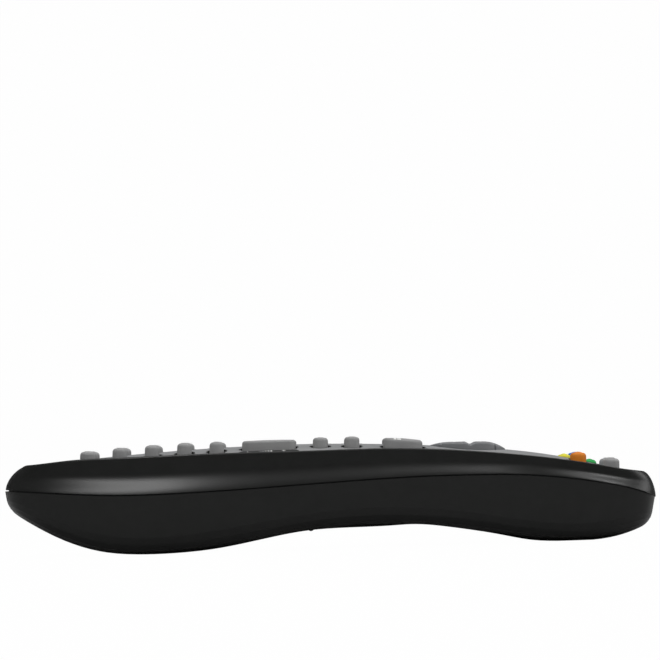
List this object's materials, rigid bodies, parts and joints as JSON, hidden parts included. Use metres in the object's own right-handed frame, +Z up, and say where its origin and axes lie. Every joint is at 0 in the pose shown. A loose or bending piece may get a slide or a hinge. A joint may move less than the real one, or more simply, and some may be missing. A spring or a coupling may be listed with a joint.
{
  "type": "media center remote control",
  "caption": "Long handheld infrared remote control with a waisted black case, grey key plate, number pad, navigation ring and coloured keys, on a battery bulge.",
  "frame": {"origin": "middle of the footprint, on the surface that the remote rests on", "axes": "+X along the remote towards the infrared end, +Y to the left of it, +Z up out of the keys"},
  "size_m": [0.225, 0.0561, 0.0382],
  "materials": {
    "shell_black": "fine-textured satin black ABS",
    "plate_grey": "satin mid grey painted ABS",
    "key_grey": "soft matte grey silicone",
    "pad_grey": "satin dark grey ABS",
    "blue_key": "matte blue silicone",
    "orange_key": "matte orange silicone",
    "yellow_key": "matte yellow silicone",
    "green_key": "matte green silicone",
    "window_dark": "polished dark red black infrared window",
    "board_green": "solder-masked glass epoxy board",
    "mat_rubber": "matte silicone sheet",
    "cell_jacket": "shrink-wrapped steel can",
    "contact_steel": "nickel-plated spring steel",
    "screw_steel": "black zinc-plated steel",
    "lamp_clear": "tinted clear epoxy",
    "chip_black": "moulded epoxy"
  },
  "bodies": {
    "case": {"top_case": "shell_black", "bottom_case": "shell_black", "face_plate": "plate_grey", "ir_window": "window_dark", "circuit_board": "board_green", "key_mat": "mat_rubber", "battery_1": "cell_jacket", "battery_2": "cell_jacket", "contact_springs": "contact_steel", "contact_plates": "contact_steel", "board_screws": "screw_steel", "case_screws": "screw_steel", "ir_leds": "lamp_clear", "control_chip": "chip_black", "crystal": "contact_steel", "capacitor": "chip_black"},
    "door": {"battery_door": "shell_black"},
    "clear_key_body": {"clear_key": "key_grey"},
    "key_0_body": {"key_0": "key_grey"},
    "enter_key_body": {"enter_key": "key_grey"},
    "key_7_body": {"key_7": "key_grey"},
    "key_8_body": {"key_8": "key_grey"},
    "key_9_body": {"key_9": "key_grey"},
    "key_4_body": {"key_4": "key_grey"},
    "key_5_body": {"key_5": "key_grey"},
    "key_6_body": {"key_6": "key_grey"},
    "key_1_body": {"key_1": "key_grey"},
    "key_2_body": {"key_2": "key_grey"},
    "key_3_body": {"key_3": "key_grey"},
    "record_key_body": {"record_key": "key_grey"},
    "stop_key_body": {"stop_key": "key_grey"},
    "pause_key_body": {"pause_key": "key_grey"},
    "channel_rocker_body": {"channel_rocker": "key_grey"},
    "volume_rocker_body": {"volume_rocker": "key_grey"},
    "mute_key_body": {"mute_key": "key_grey"},
    "rewind_key_body": {"rewind_key": "key_grey"},
    "play_key_body": {"play_key": "key_grey"},
    "forward_key_body": {"forward_key": "key_grey"},
    "skip_back_key_body": {"skip_back_key": "key_grey"},
    "guide_key_body": {"guide_key": "key_grey"},
    "skip_ahead_key_body": {"skip_ahead_key": "key_grey"},
    "back_key_body": {"back_key": "key_grey"},
    "info_key_body": {"info_key": "key_grey"},
    "home_key_body": {"home_key": "key_grey"},
    "power_key_body": {"power_key": "key_grey"},
    "media_key_body": {"media_key": "key_grey"},
    "right_arrow_body": {"right_arrow": "pad_grey"},
    "up_arrow_body": {"up_arrow": "pad_grey"},
    "left_arrow_body": {"left_arrow": "pad_grey"},
    "down_arrow_body": {"down_arrow": "pad_grey"},
    "ok_key_body": {"ok_key": "pad_grey"},
    "blue_key_body": {"blue_key": "blue_key"},
    "orange_key_body": {"orange_key": "orange_key"},
    "yellow_key_body": {"yellow_key": "yellow_key"},
    "green_key_body": {"green_key": "green_key"}
  },
  "joints": [
    {"name": "door_swing", "type": "hinge", "parent": "case", "child": "door", "pos_m": [-0.089, 0, 0.00419], "axis": [0, 1, 0], "range_deg": [0, 75]},
    {"name": "clear_key_press", "type": "slide", "parent": "case", "child": "clear_key_body", "axis": [-0.0326, 0, -0.9995], "range_m": [0, 0.0008], "stiffness_N_per_m": 1500},
    {"name": "key_0_press", "type": "slide", "parent": "case", "child": "key_0_body", "axis": [-0.0326, 0, -0.9995], "range_m": [0, 0.0008], "stiffness_N_per_m": 1500},
    {"name": "enter_key_press", "type": "slide", "parent": "case", "child": "enter_key_body", "axis": [-0.0326, 0, -0.9995], "range_m": [0, 0.0008], "stiffness_N_per_m": 1500},
    {"name": "key_7_press", "type": "slide", "parent": "case", "child": "key_7_body", "axis": [-0.0326, 0, -0.9995], "range_m": [0, 0.0008], "stiffness_N_per_m": 1500},
    {"name": "key_8_press", "type": "slide", "parent": "case", "child": "key_8_body", "axis": [-0.0326, 0, -0.9995], "range_m": [0, 0.0008], "stiffness_N_per_m": 1500},
    {"name": "key_9_press", "type": "slide", "parent": "case", "child": "key_9_body", "axis": [-0.0326, 0, -0.9995], "range_m": [0, 0.0008], "stiffness_N_per_m": 1500},
    {"name": "key_4_press", "type": "slide", "parent": "case", "child": "key_4_body", "axis": [-0.0326, 0, -0.9995], "range_m": [0, 0.0008], "stiffness_N_per_m": 1500},
    {"name": "key_5_press", "type": "slide", "parent": "case", "child": "key_5_body", "axis": [-0.0326, 0, -0.9995], "range_m": [0, 0.0008], "stiffness_N_per_m": 1500},
    {"name": "key_6_press", "type": "slide", "parent": "case", "child": "key_6_body", "axis": [-0.0326, 0, -0.9995], "range_m": [0, 0.0008], "stiffness_N_per_m": 1500},
    {"name": "key_1_press", "type": "slide", "parent": "case", "child": "key_1_body", "axis": [-0.0326, 0, -0.9995], "range_m": [0, 0.0008], "stiffness_N_per_m": 1500},
    {"name": "key_2_press", "type": "slide", "parent": "case", "child": "key_2_body", "axis": [-0.0326, 0, -0.9995], "range_m": [0, 0.0008], "stiffness_N_per_m": 1500},
    {"name": "key_3_press", "type": "slide", "parent": "case", "child": "key_3_body", "axis": [-0.0326, 0, -0.9995], "range_m": [0, 0.0008], "stiffness_N_per_m": 1500},
    {"name": "record_key_press", "type": "slide", "parent": "case", "child": "record_key_body", "axis": [-0.0326, 0, -0.9995], "range_m": [0, 0.0008], "stiffness_N_per_m": 1500},
    {"name": "stop_key_press", "type": "slide", "parent": "case", "child": "stop_key_body", "axis": [-0.0326, 0, -0.9995], "range_m": [0, 0.0008], "stiffness_N_per_m": 1500},
    {"name": "pause_key_press", "type": "slide", "parent": "case", "child": "pause_key_body", "axis": [-0.0326, 0, -0.9995], "range_m": [0, 0.0008], "stiffness_N_per_m": 1500},
    {"name": "channel_rocker_press", "type": "slide", "parent": "case", "child": "channel_rocker_body", "axis": [-0.0326, 0, -0.9995], "range_m": [0, 0.0008], "stiffness_N_per_m": 1500},
    {"name": "volume_rocker_press", "type": "slide", "parent": "case", "child": "volume_rocker_body", "axis": [-0.0326, 0, -0.9995], "range_m": [0, 0.0008], "stiffness_N_per_m": 1500},
    {"name": "mute_key_press", "type": "slide", "parent": "case", "child": "mute_key_body", "axis": [-0.0326, 0, -0.9995], "range_m": [0, 0.0008], "stiffness_N_per_m": 1500},
    {"name": "rewind_key_press", "type": "slide", "parent": "case", "child": "rewind_key_body", "axis": [-0.0326, 0, -0.9995], "range_m": [0, 0.0008], "stiffness_N_per_m": 1500},
    {"name": "play_key_press", "type": "slide", "parent": "case", "child": "play_key_body", "axis": [-0.0326, 0, -0.9995], "range_m": [0, 0.0008], "stiffness_N_per_m": 1500},
    {"name": "forward_key_press", "type": "slide", "parent": "case", "child": "forward_key_body", "axis": [-0.0326, 0, -0.9995], "range_m": [0, 0.0008], "stiffness_N_per_m": 1500},
    {"name": "skip_back_key_press", "type": "slide", "parent": "case", "child": "skip_back_key_body", "axis": [-0.0326, 0, -0.9995], "range_m": [0, 0.0008], "stiffness_N_per_m": 1500},
    {"name": "guide_key_press", "type": "slide", "parent": "case", "child": "guide_key_body", "axis": [-0.0326, 0, -0.9995], "range_m": [0, 0.0008], "stiffness_N_per_m": 1500},
    {"name": "skip_ahead_key_press", "type": "slide", "parent": "case", "child": "skip_ahead_key_body", "axis": [-0.0326, 0, -0.9995], "range_m": [0, 0.0008], "stiffness_N_per_m": 1500},
    {"name": "back_key_press", "type": "slide", "parent": "case", "child": "back_key_body", "axis": [-0.0326, 0, -0.9995], "range_m": [0, 0.0008], "stiffness_N_per_m": 1500},
    {"name": "info_key_press", "type": "slide", "parent": "case", "child": "info_key_body", "axis": [-0.0326, 0, -0.9995], "range_m": [0, 0.0008], "stiffness_N_per_m": 1500},
    {"name": "home_key_press", "type": "slide", "parent": "case", "child": "home_key_body", "axis": [-0.0326, 0, -0.9995], "range_m": [0, 0.0008], "stiffness_N_per_m": 1500},
    {"name": "power_key_press", "type": "slide", "parent": "case", "child": "power_key_body", "axis": [-0.0326, 0, -0.9995], "range_m": [0, 0.0008], "stiffness_N_per_m": 1500},
    {"name": "media_key_press", "type": "slide", "parent": "case", "child": "media_key_body", "axis": [-0.0326, 0, -0.9995], "range_m": [0, 0.0008], "stiffness_N_per_m": 1500},
    {"name": "right_arrow_press", "type": "slide", "parent": "case", "child": "right_arrow_body", "axis": [-0.0326, 0, -0.9995], "range_m": [0, 0.0008], "stiffness_N_per_m": 1500},
    {"name": "up_arrow_press", "type": "slide", "parent": "case", "child": "up_arrow_body", "axis": [-0.0326, 0, -0.9995], "range_m": [0, 0.0008], "stiffness_N_per_m": 1500},
    {"name": "left_arrow_press", "type": "slide", "parent": "case", "child": "left_arrow_body", "axis": [-0.0326, 0, -0.9995], "range_m": [0, 0.0008], "stiffness_N_per_m": 1500},
    {"name": "down_arrow_press", "type": "slide", "parent": "case", "child": "down_arrow_body", "axis": [-0.0326, 0, -0.9995], "range_m": [0, 0.0008], "stiffness_N_per_m": 1500},
    {"name": "ok_key_press", "type": "slide", "parent": "case", "child": "ok_key_body", "axis": [-0.0326, 0, -0.9995], "range_m": [0, 0.0008], "stiffness_N_per_m": 1500},
    {"name": "blue_key_press", "type": "slide", "parent": "case", "child": "blue_key_body", "axis": [-0.0326, 0, -0.9995], "range_m": [0, 0.0008], "stiffness_N_per_m": 1500},
    {"name": "orange_key_press", "type": "slide", "parent": "case", "child": "orange_key_body", "axis": [-0.0326, 0, -0.9995], "range_m": [0, 0.0008], "stiffness_N_per_m": 1500},
    {"name": "yellow_key_press", "type": "slide", "parent": "case", "child": "yellow_key_body", "axis": [-0.0326, 0, -0.9995], "range_m": [0, 0.0008], "stiffness_N_per_m": 1500},
    {"name": "green_key_press", "type": "slide", "parent": "case", "child": "green_key_body", "axis": [-0.0326, 0, -0.9995], "range_m": [0, 0.0008], "stiffness_N_per_m": 1500}
  ]
}
